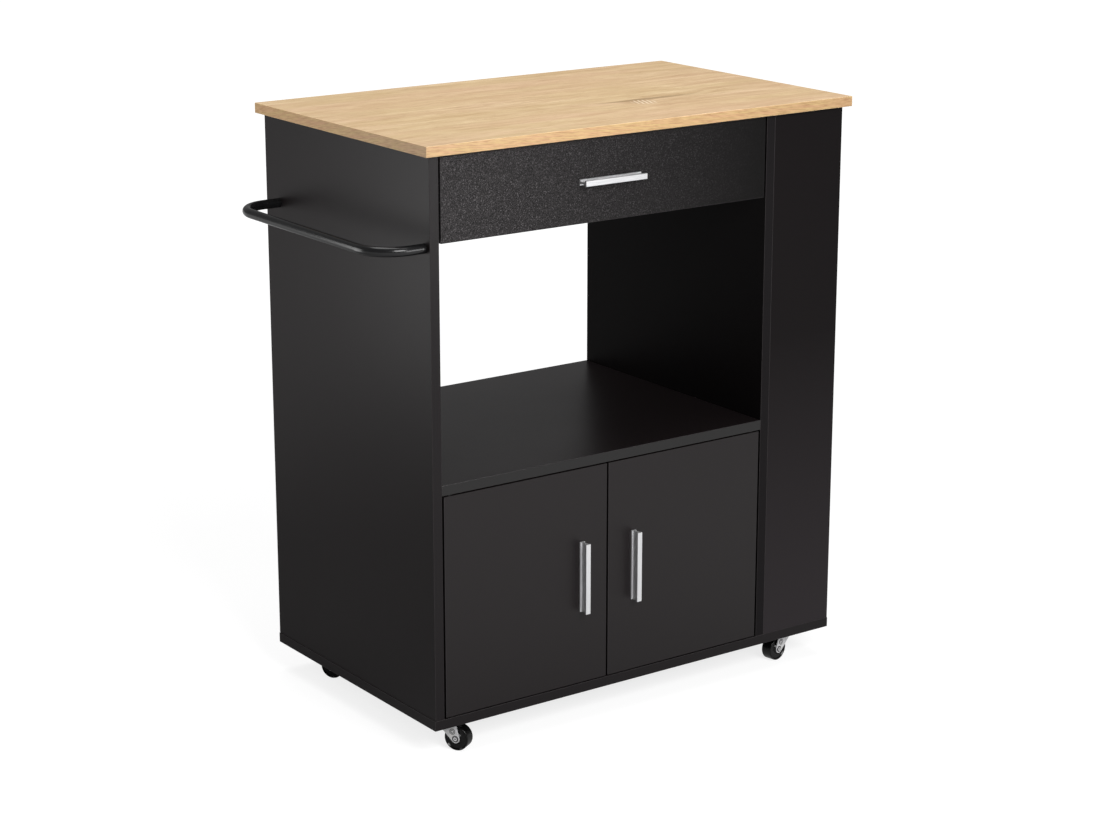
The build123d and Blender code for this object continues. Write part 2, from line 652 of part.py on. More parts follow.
def catches():
    """Magnetic catches screwed under the shelf near the middle, one behind each door."""
    front = BOARD + STRIKE_THICKNESS + STRIKE_TO_CATCH
    cases = []
    for way in (-1, 1):
        x = opening_middle + way * CATCH_OFFSET
        case = block(x - CATCH_LENGTH / 2, x + CATCH_LENGTH / 2, front, front + CATCH_DEPTH,
                     shelf_bottom - CATCH_HEIGHT, shelf_bottom)
        case = fillet(case.edges().filter_by(Axis.Z), CATCH_ROUND)
        for screw_way in (-1, 1):
            seat = (x + screw_way * CATCH_SCREW_SPACING / 2, front + CATCH_DEPTH / 2,
                    shelf_bottom - CATCH_EAR)
            case -= rod(seat, (0, 0, -1), CATCH_HEIGHT, WOOD_SCREW_HEAD_RADIUS + FIT)
            case -= rod(seat, (0, 0, 1), CATCH_EAR, WOOD_SCREW_RADIUS + FIT)
            wood_screw("middle_shelf", seat, (0, 0, 1), "wood_screws")
        cases.append(case)
    return pieces(cases)


def strike_plate(side):
    """Thin steel plate on the back of a door, facing its catch."""
    way = -1 if side == "left" else 1
    x = opening_middle + way * CATCH_OFFSET
    plate = block(x - STRIKE_WIDTH / 2, x + STRIKE_WIDTH / 2, BOARD, BOARD + STRIKE_THICKNESS,
                  door_top - STRIKE_DROP - STRIKE_HEIGHT, door_top - STRIKE_DROP)
    return fillet(plate.edges().filter_by(Axis.Y), STRIKE_ROUND)


# Handles
def handle_profile():
    """Section of the bar handle: a flange on the panel, a waisted web and a front plate."""
    half = HANDLE_PLATE_WIDTH / 2
    web = HANDLE_WEB / 2
    waist = HANDLE_WAIST / 2
    plate_back = HANDLE_REACH - HANDLE_PLATE_THICKNESS
    with BuildSketch() as section:
        with BuildLine():
            Polyline((-half, 0), (half, 0), (half, HANDLE_FLANGE_THICKNESS),
                     (web, HANDLE_FLANGE_THICKNESS))
            middle = (HANDLE_FLANGE_THICKNESS + plate_back) / 2
            ThreePointArc((web, HANDLE_FLANGE_THICKNESS), (waist, middle), (web, plate_back))
            Polyline((web, plate_back), (half, plate_back), (half, HANDLE_REACH), (-half, HANDLE_REACH),
                     (-half, plate_back), (-web, plate_back))
            ThreePointArc((-web, plate_back), (-waist, middle), (-web, HANDLE_FLANGE_THICKNESS))
            Polyline((-web, HANDLE_FLANGE_THICKNESS), (-half, HANDLE_FLANGE_THICKNESS), (-half, 0))
        make_face()
    return section.sketch


def handle(panel, x, z, lengthwise, group):
    """Bar handle on a panel's front face, and the two screws through the panel into it."""
    across = Vector(0, 0, 1) if lengthwise == (1, 0, 0) else Vector(1, 0, 0)
    axis = Vector(*lengthwise)
    start = Vector(x, 0, z) - axis * (HANDLE_LENGTH / 2)
    plane = Plane(origin=start, x_dir=across, z_dir=axis)
    outward = plane.y_dir.Y
    profile = handle_profile() if outward < 0 else mirror(handle_profile(), Plane.XZ)
    bar = extrude(plane * profile, HANDLE_LENGTH, dir=axis)
    corner_edges = bar.edges().filter_by(axis_of(lengthwise)).group_by(Axis.Y)[0]
    bar = fillet(corner_edges, HANDLE_ROUND)
    screws = []
    for way in (-1, 1):
        centre = Vector(x, BOARD, z) + axis * (way * (HANDLE_LENGTH / 2 - HANDLE_SCREW_INSET))
        seat = (centre.X, centre.Y, centre.Z)
        length = BOARD + HANDLE_SCREW_GRIP
        screw = rod(seat, (0, -1, 0), length, HANDLE_SCREW_RADIUS)
        screw += rod(seat, (0, 1, 0), HANDLE_SCREW_HEAD_HEIGHT, 2 * HANDLE_SCREW_RADIUS)
        head_face = along(seat, (0, 1, 0), HANDLE_SCREW_HEAD_HEIGHT)
        screws.append(screw - rod(head_face, (0, -1, 0), SCREW_RECESS_DEPTH, SCREW_RECESS_RADIUS))
        bore = rod(seat, (0, -1, 0), length + HOLE_SPARE, HANDLE_SCREW_RADIUS + FIT)
        holes[panel].append(bore)
        bar -= bore
    hardware[group] = screws
    return bar


def axis_of(direction):
    """Named axis for a unit direction."""
    return Axis.X if direction[0] else Axis.Z


# Casters
caster_places = {
    "front_left": (CASTER_LEFT_INSET, CASTER_FRONT_INSET),
    "front_right": (BODY_WIDTH - CASTER_RIGHT_INSET, CASTER_FRONT_INSET),
    "rear_left": (CASTER_LEFT_INSET, BODY_DEPTH - CASTER_REAR_INSET),
    "rear_right": (BODY_WIDTH - CASTER_RIGHT_INSET, BODY_DEPTH - CASTER_REAR_INSET),
}
plate_bottom = base_bottom - CASTER_PLATE_THICKNESS
race_bottom = plate_bottom - CASTER_RACE_HEIGHT
crown_top = race_bottom - FIT
crown_bottom = crown_top - FORK_STEEL
fork_inner = WHEEL_WIDTH / 2 + FORK_GAP
fork_outer = fork_inner + FORK_STEEL


def caster_plate(x, y):
    """Mounting plate with its ball race and the kingpin that carries the fork."""
    plate = block(x - CASTER_PLATE_LENGTH / 2, x + CASTER_PLATE_LENGTH / 2, y - CASTER_PLATE_WIDTH / 2,
                  y + CASTER_PLATE_WIDTH / 2, plate_bottom, base_bottom)
    plate = fillet(plate.edges().filter_by(Axis.Z), CASTER_PLATE_CORNER)
    for side_x in (-1, 1):
        for side_y in (-1, 1):
            seat = (x + side_x * (CASTER_PLATE_LENGTH / 2 - CASTER_SCREW_INSET),
                    y + side_y * (CASTER_PLATE_WIDTH / 2 - CASTER_SCREW_INSET), plate_bottom)
            wood_screw("base_board", seat, (0, 0, 1), "wood_screws")
            plate -= rod(seat, (0, 0, 1), CASTER_PLATE_THICKNESS, WOOD_SCREW_RADIUS + FIT)
    plate += rod((x, y, race_bottom), (0, 0, 1), CASTER_RACE_HEIGHT, CASTER_RACE_RADIUS)
    head_top = crown_bottom - FIT
    pin_length = race_bottom - head_top
    plate += rod((x, y, head_top), (0, 0, 1), pin_length, KINGPIN_RADIUS)
    return plate + rod((x, y, head_top), (0, 0, -1), KINGPIN_HEAD_HEIGHT, KINGPIN_HEAD_RADIUS)


def fork_leg_outline():
    """Side view of a fork leg: wide at the crown, closing round the axle eye."""
    eye = Vector(CASTER_TRAIL, WHEEL_RADIUS)
    corners = (Vector(-FORK_REAR_REACH, crown_top), Vector(FORK_FRONT_REACH, crown_top))
    shape = Pos(eye) * Circle(FORK_EYE_RADIUS)
    points = [corners[1], corners[0]]
    for corner, turn in ((corners[0], 1), (corners[1], -1)):
        to_eye = eye - corner
        distance = hypot(to_eye.X, to_eye.Y)
        unit = to_eye / distance
        shift = FORK_EYE_RADIUS / distance
        run = (1 - shift ** 2) ** 0.5
        normal = Vector(unit.Y, -unit.X) * turn
        tangent = eye + (normal * run - unit * shift) * FORK_EYE_RADIUS
        points.append(tangent)
    return shape + make_face(Polyline(*points, close=True).edges())


def fork():
    """Pressed steel fork, trailing along +X from a kingpin at the origin."""
    upright = Plane(origin=(0, 0, 0), x_dir=(1, 0, 0), z_dir=(0, -1, 0))
    leg = extrude(upright * fork_leg_outline(), FORK_STEEL)
    body = block(-FORK_REAR_REACH, FORK_FRONT_REACH, -fork_outer, fork_outer, crown_bottom, crown_top)
    for y in (-fork_inner, fork_outer):
        body += Pos(0, y, 0) * leg
    body -= rod((0, 0, crown_bottom), (0, 0, 1), FORK_STEEL, KINGPIN_RADIUS + FIT)
    body -= rod((CASTER_TRAIL, -fork_outer, WHEEL_RADIUS), (0, 1, 0), 2 * fork_outer,
                AXLE_RADIUS + FIT)
    dimple_z = (WHEEL_RADIUS + crown_bottom) / 2
    for way in (-1, 1):
        face = (FORK_DIMPLE_FORWARD, way * fork_outer, dimple_z)
        body += rod(face, (0, way, 0), FORK_DIMPLE_RISE, FORK_DIMPLE_RADIUS)
        body -= rod(face, (0, way, 0), FORK_DIMPLE_RISE, FORK_DIMPLE_RADIUS - FORK_DIMPLE_RIM)
    return body


def wheel():
    """Solid wheel with rounded shoulders and dished sides, axis along Y, hub at the origin."""
    half = WHEEL_WIDTH / 2
    rim = WHEEL_RADIUS - WHEEL_SHOULDER
    bore = AXLE_RADIUS + FIT
    face = half - WHEEL_DISH
    with BuildSketch(Plane.XY) as section:
        with BuildLine():
            Polyline((bore, -half), (WHEEL_HUB_RADIUS - WHEEL_DISH, -half), (WHEEL_HUB_RADIUS, -face),
                     (rim - WHEEL_DISH, -face), (rim, -half))
            RadiusArc((rim, -half), (WHEEL_RADIUS, -half + WHEEL_SHOULDER), -WHEEL_SHOULDER)
            Line((WHEEL_RADIUS, -half + WHEEL_SHOULDER), (WHEEL_RADIUS, half - WHEEL_SHOULDER))
            RadiusArc((WHEEL_RADIUS, half - WHEEL_SHOULDER), (rim, half), -WHEEL_SHOULDER)
            Polyline((rim, half), (rim - WHEEL_DISH, face), (WHEEL_HUB_RADIUS, face),
                     (WHEEL_HUB_RADIUS - WHEEL_DISH, half), (bore, half), (bore, -half))
        make_face()
    return revolve(section.sketch, Axis.Y)


def axle():
    """Axle rivet with a low round head on each side of the fork, centred on the wheel."""
    length = 2 * fork_outer
    pin = rod((0, -fork_outer, 0), (0, 1, 0), length, AXLE_RADIUS)
    for way in (-1, 1):
        head = rod((0, way * fork_outer, 0), (0, way, 0), AXLE_HEAD_HEIGHT, AXLE_HEAD_RADIUS)
        outer_edge = head.edges().sort_by(Axis.Y)[-1 if way > 0 else 0]
        pin += fillet(outer_edge, AXLE_HEAD_ROUND)
        head_face = (0, way * (fork_outer + AXLE_HEAD_HEIGHT), 0)
        pin -= rod(head_face, (0, -way, 0), AXLE_RECESS, AXLE_RECESS)
    return pin


def casters():
    """Plates, forks, wheels and axles of the four casters, by node name."""
    made = {}
    plates = []
    for name, (x, y) in caster_places.items():
        plates.append(caster_plate(x, y))
        swivel = Pos(x, y, 0) * Rot(0, 0, TRAIL_ANGLES[name])
        hub = swivel * Pos(CASTER_TRAIL, 0, WHEEL_RADIUS)
        made[f"caster_fork_{name}"] = swivel * fork()
        made[f"caster_wheel_{name}"] = hub * wheel()
        made[f"caster_axle_{name}"] = hub * axle()
    made["caster_plates"] = pieces(plates)
    return made


def build():
    """All sub-parts by node name, still in the carcass layout."""
    nodes = {}
    join_carcass()
    nodes["tower_guard_rails"] = guard_rails()
    nodes["towel_rail"], nodes["towel_rail_bolts"] = towel_rail()
    nodes["door_pivot_pins"] = pivot_pins()
    nodes["magnetic_catches"] = catches()
    nodes.update(casters())

    runner_sides = {
        "left": ("left_side_panel", left_inner, 1, "drawer_side_left", drawer_left),
        "right": ("partition_panel", partition_left, -1, "drawer_side_right", drawer_right),
    }
    for side, (panel, face, way, drawer_side, side_face) in runner_sides.items():
        cabinet, member, front_roller, rear_roller = runner_set(panel, face, way)
        nodes[f"runner_cabinet_{side}"] = cabinet
        nodes[f"runner_drawer_{side}"] = drawer_runner_screws(drawer_side, side_face, way, member)
        nodes[f"runner_front_roller_{side}"] = front_roller
        nodes[f"runner_rear_roller_{side}"] = rear_roller

    middle_z = (drawer_front_bottom + drawer_front_top) / 2
    nodes["drawer_handle"] = handle("drawer_front", opening_middle, middle_z, (1, 0, 0),
                                    "drawer_handle_screws")
    for side, (edge, way) in door_edges.items():
        free_edge = edge + way * door_width
        nodes[f"{side}_door_handle"] = handle(f"{side}_door", free_edge - way * HANDLE_FROM_EDGE,
                                              door_middle_z, (0, 0, 1), f"{side}_door_handle_screws")
        nodes[f"{side}_door_strike_plate"] = strike_plate(side)

    nodes.update(carcass_boards())
    nodes.update(drawer_boards())
    for side in door_edges:
        nodes[f"{side}_door"] = door(side)
    for group, shapes in hardware.items():
        nodes[group] = pieces(shapes)
    return nodes


# The origin is the centre of the whole cart's footprint, on the floor
footprint_left = -RAIL_REACH
footprint_right = BODY_WIDTH + TOP_OVERHANG
footprint_front = -HANDLE_REACH
footprint_back = BODY_DEPTH + TOP_OVERHANG
to_origin = Pos(-(footprint_left + footprint_right) / 2, -(footprint_front + footprint_back) / 2, 0)

os.makedirs("parts", exist_ok=True)
for node_name, shape in build().items():
    export_step(to_origin * shape, f"parts/{node_name}.step")
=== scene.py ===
import json
from math import radians

import bpy
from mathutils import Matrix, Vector

# Looks, light and camera for the kitchen cart. Metres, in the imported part's own frame:
# X runs along the front, Y from front to back, Z up from the floor.

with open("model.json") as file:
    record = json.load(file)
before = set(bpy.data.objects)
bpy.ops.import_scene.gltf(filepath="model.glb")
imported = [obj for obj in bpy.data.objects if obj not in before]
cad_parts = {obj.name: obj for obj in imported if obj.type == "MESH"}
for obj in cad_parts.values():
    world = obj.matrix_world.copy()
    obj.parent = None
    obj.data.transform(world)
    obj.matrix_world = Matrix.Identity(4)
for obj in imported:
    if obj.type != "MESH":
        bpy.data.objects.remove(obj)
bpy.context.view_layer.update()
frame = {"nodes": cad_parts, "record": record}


def linear(red, green, blue):
    """Scene-linear colour from the 0-255 values of a display colour."""
    channels = []
    for value in (red, green, blue):
        share = value / 255
        channels.append(share / 12.92 if share <= 0.04045 else ((share + 0.055) / 1.055) ** 2.4)
    return (*channels, 1.0)


# The camera: its place, its turn to the right and downwards in degrees, and its lens and
# sensor in millimetres.
CAMERA_PLACE = (-2.167, -3.0665, 1.468)
CAMERA_YAW = 35.52
CAMERA_PITCH = 15.74
CAMERA_LENS = 84.66
SENSOR_WIDTH = 36.0
CLIP_NEAR = 0.05
CLIP_FAR = 200.0

# The worktop's knot. Each of its marks is a centre and its half widths along X and Y.
KNOT_X = 0.135
KNOT_Y = -0.070
KNOT_BEND = ((KNOT_X, KNOT_Y), (0.14, 0.05))
KNOT_LINE = ((KNOT_X + 0.015, KNOT_Y), (0.105, 0.009))
KNOT_DIP = ((KNOT_X - 0.017, KNOT_Y - 0.012), (0.034, 0.020))
KNOT_STROKES = ((KNOT_X - 0.010, KNOT_Y - 0.022), (0.022, 0.022))
BEND_DEPTH = 0.012
WAVER_DEPTH = 0.006

# The pale strokes over the knot: radians per metre, and how much they lean and waver.
STROKE_RATE = 850.0
STROKE_LEAN = 0.37
STROKE_WAVER = 0.02

# The worktop's edge band: the size of its printed streaks, and their slant in radians.
STREAK_LENGTH = 0.020
STREAK_WIDTH = 0.0011
FRONT_BAND_SLANT = 0.10
SIDE_BAND_SLANT = -0.16

# The black boards: grains per metre of their texture, their two blacks, and the painted highlight on
# their eased edges.
PEBBLE = 1100.0
BLACK = (linear(17, 12, 13), linear(24, 19, 20))
PAINTED_ARRIS_HIGHLIGHT = linear(74, 71, 72)

# Heights between which the tower's front fades to its lighter foot colour, which is painted
# light, and places along X between which painted light on the drawer's grain fades from full to almost
# none.
PAINTED_FOOT_LOW = 0.04
PAINTED_FOOT_HIGH = 0.53
PAINTED_LIT_LEFT = -0.31
PAINTED_LIT_RIGHT = 0.24

# Painted shade lines on the casters, each the inner and outer radius of a ring, or of a disc
# where the inner one is below zero. The fork's pressed boss lies this share of the way from its
# swivel to its wheel's hub, and this much higher.
BOSS_SHARE = 0.71
BOSS_RISE = 0.0107
BOSS_RINGS = ((0.0017, 0.0028), (0.0036, 0.0046))
RIVET_SEAT = (0.0030, 0.0050)
RIVET_RINGS = ((-1.0, 0.0013), (0.0028, 0.0050))
SHADE = linear(26, 25, 26)

# The floor and the sky. Each glow grows from one level to another between two distances
# from a centre. The camera sees the first glow, and reflections show the second, which is
# dim near a place at the cart's left rear as painted shade.
FLOOR_HALF = 30.0
SEEN_GLOW = {"centre": (0.0, 0.0, 0.0), "near": 0.9, "far": 3.5, "at_near": 0.80, "at_far": 1.0}
MIRRORED_GLOW = {"centre": (-0.6, 0.5, 0.0), "near": 0.4, "far": 1.7, "at_near": 0.02, "at_far": 0.60}
FLOOR_SHADOWED = 0.30
FLOOR_GREY = 0.35
SKY_LIGHT = 0.22


class Finish:
    """One material, built node by node. Texture positions are in the piece's own coordinates."""

    def __init__(self, name, **sockets):
        self.material = bpy.data.materials.new(name)
        self.material.use_nodes = True
        self.tree = self.material.node_tree
        self.shader = self.tree.nodes["Principled BSDF"]
        for socket, value in sockets.items():
            self.shader.inputs[socket.replace("_", " ")].default_value = value
        coordinates = self.tree.nodes.new("ShaderNodeTexCoord")
        self.position = coordinates.outputs["Object"]
        self.normal = coordinates.outputs["Normal"]

    def add(self, kind, output=0, settings=None, **inputs):
        """Adds a node and returns one of its outputs. Inputs go by socket name, or i and a number."""
        node = self.tree.nodes.new("ShaderNode" + kind)
        for key, value in (settings or {}).items():
            setattr(node, key, value)
        for key, value in inputs.items():
            socket = node.inputs[int(key[1:]) if key[1:].isdigit() else key.replace("_", " ")]
            if isinstance(value, bpy.types.NodeSocket):
                self.tree.links.new(value, socket)
            else:
                socket.default_value = value
        return node.outputs[output]

    def math(self, operation, first, second=0.0):
        return self.add("Math", settings={"operation": operation}, i0=first, i1=second)

    def noise(self, scale, detail=2.0, roughness=0.5, distortion=0.0, shift=(0, 0, 0), place=None):
        """Noise of about scale waves per metre, given for X, Y and Z or as one number for all."""
        if not isinstance(scale, tuple):
            scale = (scale,) * 3
        place = self.add("Mapping", Vector=place or self.position, Scale=scale, Location=shift)
        return self.add("TexNoise", Vector=place, Scale=1.0, Detail=detail, Roughness=roughness,
                        Distortion=distortion)

    def spread(self, value, low, high, to_low=0.0, to_high=1.0):
        """Maps low..high to the given range, and clamps what lies outside."""
        return self.add("MapRange", Value=value, From_Min=low, From_Max=high, To_Min=to_low,
                        To_Max=to_high)

    def blend(self, factor, first, second, mode="MIX"):
        return self.add("Mix", output=2, settings={"data_type": "RGBA", "blend_type": mode},
                        i0=factor, i6=first, i7=second)

    def parts(self, vector=None):
        """X, Y and Z of a vector, or of the piece's coordinates."""
        node = self.tree.nodes.new("ShaderNodeSeparateXYZ")
        self.tree.links.new(vector or self.position, node.inputs[0])
        return node.outputs

    def facing(self, axis):
        """1 on faces that look along the axis, either way, and 0 on the others."""
        size = self.math("ABSOLUTE", self.parts(self.normal)[axis])
        return self.spread(size, 0.55, 0.8)

    def arris(self, share=1.0):
        """The given share on faces that look along no axis, which are the boards' eased edges."""
        widest = 0.0
        for part in self.parts(self.normal):
            widest = self.math("MAXIMUM", self.math("ABSOLUTE", part), widest)
        return self.spread(widest, 0.80, 0.96, share, 0.0)

    def from_axis(self, point, direction):
        """Distance in metres from the line through a point."""
        away = self.add("VectorMath", settings={"operation": "SUBTRACT"}, i0=self.position, i1=point)
        across = self.add("VectorMath", settings={"operation": "CROSS_PRODUCT"}, i0=away, i1=direction)
        return self.add("VectorMath", output=1, settings={"operation": "LENGTH"}, i0=across)

    def blob(self, centre, half):
        """Fades from 1 at a place on the worktop to 0 at half widths along X and Y from it."""
        x, y, _ = self.parts()
        total = None
        for value, middle, reach in ((x, centre[0], half[0]), (y, centre[1], half[1])):
            share = self.math("DIVIDE", self.math("SUBTRACT", value, middle), reach)
            square = self.math("MULTIPLY", share, share)
            total = square if total is None else self.math("ADD", total, square)
        return self.spread(total, 0.0, 1.0, 1.0, 0.0)

    def ring(self, distance, inner, outer, soft=0.0003):
        """1 between two distances and 0 elsewhere, with soft edges."""
        rising = self.spread(distance, inner - soft, inner + soft)
        falling = self.spread(distance, outer - soft, outer + soft, 1.0, 0.0)
        return self.math("MULTIPLY", rising, falling)

    def wear(self, socket, value):
        """Links a value to one of the shader's own sockets."""
        self.tree.links.new(value, self.shader.inputs[socket])

    def bump(self, *layers):
        """Chains bump layers, each a height, the height's distance in metres and its strength."""
        normal = None
        for height, distance, strength in layers:
            inputs = {"Height": height, "Distance": distance, "Strength": strength}
            if normal is not None:
                inputs["Normal"] = normal
            normal = self.add("Bump", **inputs)
        self.wear("Normal", normal)


def knot(m, colour, hue, fibre):
    """The knot: a thin dark line along the grain, a shaded dip, and pale strokes across it."""
    line = m.math("MULTIPLY", m.blob(*KNOT_LINE), m.spread(fibre, 0.3, 0.6, 1.0, 0.5))
    colour = m.blend(m.math("MULTIPLY", line, 0.95), colour, linear(128, 98, 62))
    colour = m.blend(m.math("MULTIPLY", m.blob(*KNOT_DIP), 0.5), colour, linear(160, 126, 86))
    x, y, _ = m.parts()
    slant = m.math("SUBTRACT", x, m.math("MULTIPLY", y, STROKE_LEAN))
    slant = m.math("ADD", slant, m.math("MULTIPLY", hue, STROKE_WAVER))
    strokes = m.spread(m.math("SINE", m.math("MULTIPLY", slant, STROKE_RATE)), 0.1, 0.9)
    strokes = m.math("MULTIPLY", strokes, m.spread(m.blob(*KNOT_STROKES), 0.0, 0.7))
    return m.blend(m.math("MULTIPLY", strokes, 0.75), colour, linear(250, 234, 208))


def edge_band(m):
    """The print of the worktop's edges: yellower than its faces, with short slanted streaks."""
    front = m.add("Mapping", settings={"vector_type": "TEXTURE"}, Vector=m.position,
                  Rotation=(0.0, FRONT_BAND_SLANT, 0.0),
                  Scale=(STREAK_LENGTH, STREAK_WIDTH, STREAK_WIDTH))
    side = m.add("Mapping", settings={"vector_type": "TEXTURE"}, Vector=m.position,
                 Rotation=(SIDE_BAND_SLANT, 0.0, 0.0),
                 Scale=(STREAK_WIDTH, STREAK_LENGTH, STREAK_WIDTH))
    run = m.add("Mix", output=1, settings={"data_type": "VECTOR"}, i0=m.facing(0), i4=front, i5=side)
    streak = m.add("TexNoise", Vector=run, Scale=1.0, Detail=3.0, Roughness=0.62, Distortion=0.3)
    patch = m.add("TexNoise", Vector=run, Scale=0.4, Detail=2.0, Roughness=0.5)
    colour = m.blend(m.spread(patch, 0.35, 0.65), linear(202, 172, 122), linear(201, 161, 122))
    return m.blend(m.spread(streak, 0.30, 0.56, 0.65, 0.0), colour, linear(144, 100, 64))


def oak():
    """Printed light oak: grain along X, fine pores, one small knot, and a warmer edge band."""
    m = Finish("oak_laminate_printed", Specular_IOR_Level=0.3)

    # The grain wavers a little everywhere and bends round the knot.
    bow = m.spread(m.blob(*KNOT_BEND), 0.0, 1.0, 0.0, BEND_DEPTH)
    waver = m.spread(m.noise((7.0, 16.0, 16.0), detail=2.0), 0.25, 0.75, -WAVER_DEPTH, WAVER_DEPTH)
    bend = m.add("CombineXYZ", Y=m.math("ADD", bow, waver))
    grain = m.add("VectorMath", settings={"operation": "ADD"}, i0=m.position, i1=bend)

    tone = m.noise((2.2, 11.0, 11.0), detail=3.0, distortion=0.5, place=grain)
    hue = m.noise((3.0, 17.0, 17.0), detail=2.0, shift=(2.0, 5.0, 1.0), place=grain)
    streak = m.noise((7.0, 75.0, 75.0), detail=5.0, roughness=0.66, distortion=0.7, place=grain)
    fibre = m.noise((24.0, 330.0, 330.0), detail=4.0, roughness=0.68, distortion=0.3, place=grain)
    pore = m.noise((55.0, 640.0, 640.0), detail=2.0, roughness=0.6, shift=(3.1, 1.7, 0.4), place=grain)
    colour = m.blend(m.spread(streak, 0.34, 0.64), linear(192, 158, 117), linear(231, 206, 169))
    colour = m.blend(m.spread(tone, 0.36, 0.62, 0.0, 0.5), colour, linear(211, 178, 139))
    colour = m.blend(m.spread(hue, 0.38, 0.62, 0.34, 0.0), colour, linear(216, 192, 140))
    colour = m.blend(m.spread(hue, 0.42, 0.66, 0.0, 0.24), colour, linear(228, 189, 155))
    colour = m.blend(m.spread(fibre, 0.34, 0.60, 0.42, 0.0), colour, linear(180, 142, 102))
    colour = m.blend(m.spread(pore, 0.60, 0.70, 0.0, 0.40), colour, linear(154, 116, 80))
    colour = knot(m, colour, hue, fibre)
    colour = m.blend(m.facing(2), edge_band(m), colour)
    # The worktop's eased edges get a paler colour: a painted highlight along the arris.
    m.wear("Base Color", m.blend(m.arris(0.5), colour, linear(240, 212, 168)))
    m.wear("Roughness", m.spread(streak, 0.3, 0.7, 0.42, 0.54))
    m.bump((fibre, 0.0002, 0.25), (pore, 0.0002, 0.2))
    return m.material


def melamine(name, blacks=BLACK, pebble=PEBBLE, relief=0.16, rough=0.40, level=0.22, band=None,
             painted_foot=None):
    """Black resin-faced board. pebble is the texture's grains per metre, relief its strength,
    rough its roughness, level its specular level, band the colour of the edge band on its front
    and back edges, and painted_foot the lighter colour of painted light that the board fades to
    at the floor, if they differ."""
    m = Finish(name, Specular_IOR_Level=level)
    grain = m.noise(pebble, detail=3.0, roughness=0.6)
    cell = m.add("TexVoronoi", Vector=m.position, Scale=pebble * 0.8, Randomness=1.0)
    smudge = m.noise(3.0, detail=3.0)
    colour = m.blend(m.spread(grain, 0.35, 0.68), *blacks)
    # Painted light: the board grows lighter towards the floor.
    if painted_foot:
        colour = m.blend(m.spread(m.parts()[2], PAINTED_FOOT_LOW, PAINTED_FOOT_HIGH, 1.0, 0.0), colour, painted_foot)
    if band:
        colour = m.blend(m.facing(1), colour, band)
    # Eased edges get a lighter colour: a painted highlight along the arris.
    m.wear("Base Color", m.blend(m.arris(0.6), colour, PAINTED_ARRIS_HIGHLIGHT))
    patch = m.spread(smudge, 0.3, 0.7, -0.025, 0.025)
    m.wear("Roughness", m.math("ADD", patch, m.spread(grain, 0.3, 0.7, rough - 0.03, rough + 0.05)))
    m.bump((grain, 0.0004, relief), (cell, 0.0003, relief * 0.5))
    return m.material


def grained_front():
    """The drawer front's coarser pebbled foil, with painted light on its grain and painted glints."""
    m = Finish("black_grained_foil", Specular_IOR_Level=0.12)
    cloud = m.noise(260.0, detail=5.0, roughness=0.8)
    grain = m.noise(600.0, detail=2.0, roughness=0.6)
    fine = m.noise(1900.0, detail=2.0, roughness=0.6)
    speck = m.noise(700.0, detail=0.0, shift=(5.0, 2.0, 1.0))
    # Painted light: the grain and its glinting specks are bright at the left and fade to almost
    # nothing at the right.
    lit = m.spread(m.parts()[0], PAINTED_LIT_LEFT, PAINTED_LIT_RIGHT, 1.0, 0.03)
    grain_and_painted_light = m.math("MULTIPLY", m.spread(grain, 0.36, 0.66), lit)
    painted_glint = m.math("MULTIPLY", m.spread(speck, 0.65, 0.77, 0.0, 0.42), lit)
    colour = m.blend(grain_and_painted_light, linear(6, 5, 5), linear(71, 68, 69))
    colour = m.blend(m.spread(cloud, 0.34, 0.62, 0.6, 0.0), colour, linear(10, 9, 9))
    colour = m.blend(painted_glint, colour, linear(124, 120, 122))
    # Eased edges get a lighter colour: a painted highlight along the arris.
    m.wear("Base Color", m.blend(m.arris(0.8), colour, PAINTED_ARRIS_HIGHLIGHT))
    m.wear("Roughness", m.spread(grain, 0.3, 0.7, 0.46, 0.62))
    m.bump((grain, 0.0008, 0.6), (fine, 0.0004, 0.35))
    return m.material


def aluminium(name, along):
    """Brushed and clear-anodised aluminium, with its brush lines along one axis."""
    m = Finish(name, Metallic=0.75)

    def brushed(across, lengthwise):
        """Scale of a noise that is drawn out along the brush lines."""
        scale = [across] * 3
        scale[along] = lengthwise
        return tuple(scale)

    line = m.noise(brushed(2600.0, 26.0), detail=3.0, roughness=0.65)
    wide = m.noise(brushed(700.0, 9.0), detail=2.0)
    colour = m.blend(m.spread(line, 0.32, 0.68), linear(212, 212, 214), linear(240, 240, 241))
    colour = m.blend(m.spread(wide, 0.4, 0.75, 0.0, 0.35), colour, linear(205, 206, 209))
    m.wear("Base Color", colour)
    m.wear("Roughness", m.spread(line, 0.3, 0.7, 0.26, 0.42))
    m.bump((line, 0.00012, 0.35), (wide, 0.0001, 0.2))
    return m.material


def zinc(name, axis=None, marks=()):
    """Pressed steel with a passivated zinc coat: pale grey with faint cloudy spangle. Each mark
    is a shaded ring round the axis: its centre, and its inner and outer radius."""
    m = Finish(name, Metallic=0.3)
    cloud = m.noise(260.0, detail=4.0, roughness=0.6)
    spangle = m.add("TexVoronoi", output=1, Vector=m.position, Scale=900.0)
    tint = m.noise(90.0, detail=2.0, shift=(1.0, 4.0, 2.0))
    colour = m.blend(m.spread(cloud, 0.35, 0.68), linear(216, 216, 218), linear(243, 243, 244))
    colour = m.blend(m.spread(tint, 0.45, 0.7, 0.0, 0.3), colour, linear(196, 194, 182))
    colour = m.blend(0.06, colour, spangle, "OVERLAY")
    for centre, (inner, outer) in marks:
        ring = m.ring(m.from_axis(tuple(centre), axis), inner, outer)
        colour = m.blend(m.math("MULTIPLY", ring, 0.92), colour, SHADE)
    m.wear("Base Color", colour)
    m.wear("Roughness", m.spread(cloud, 0.3, 0.7, 0.34, 0.55))
    m.bump((cloud, 0.0002, 0.3))
    return m.material


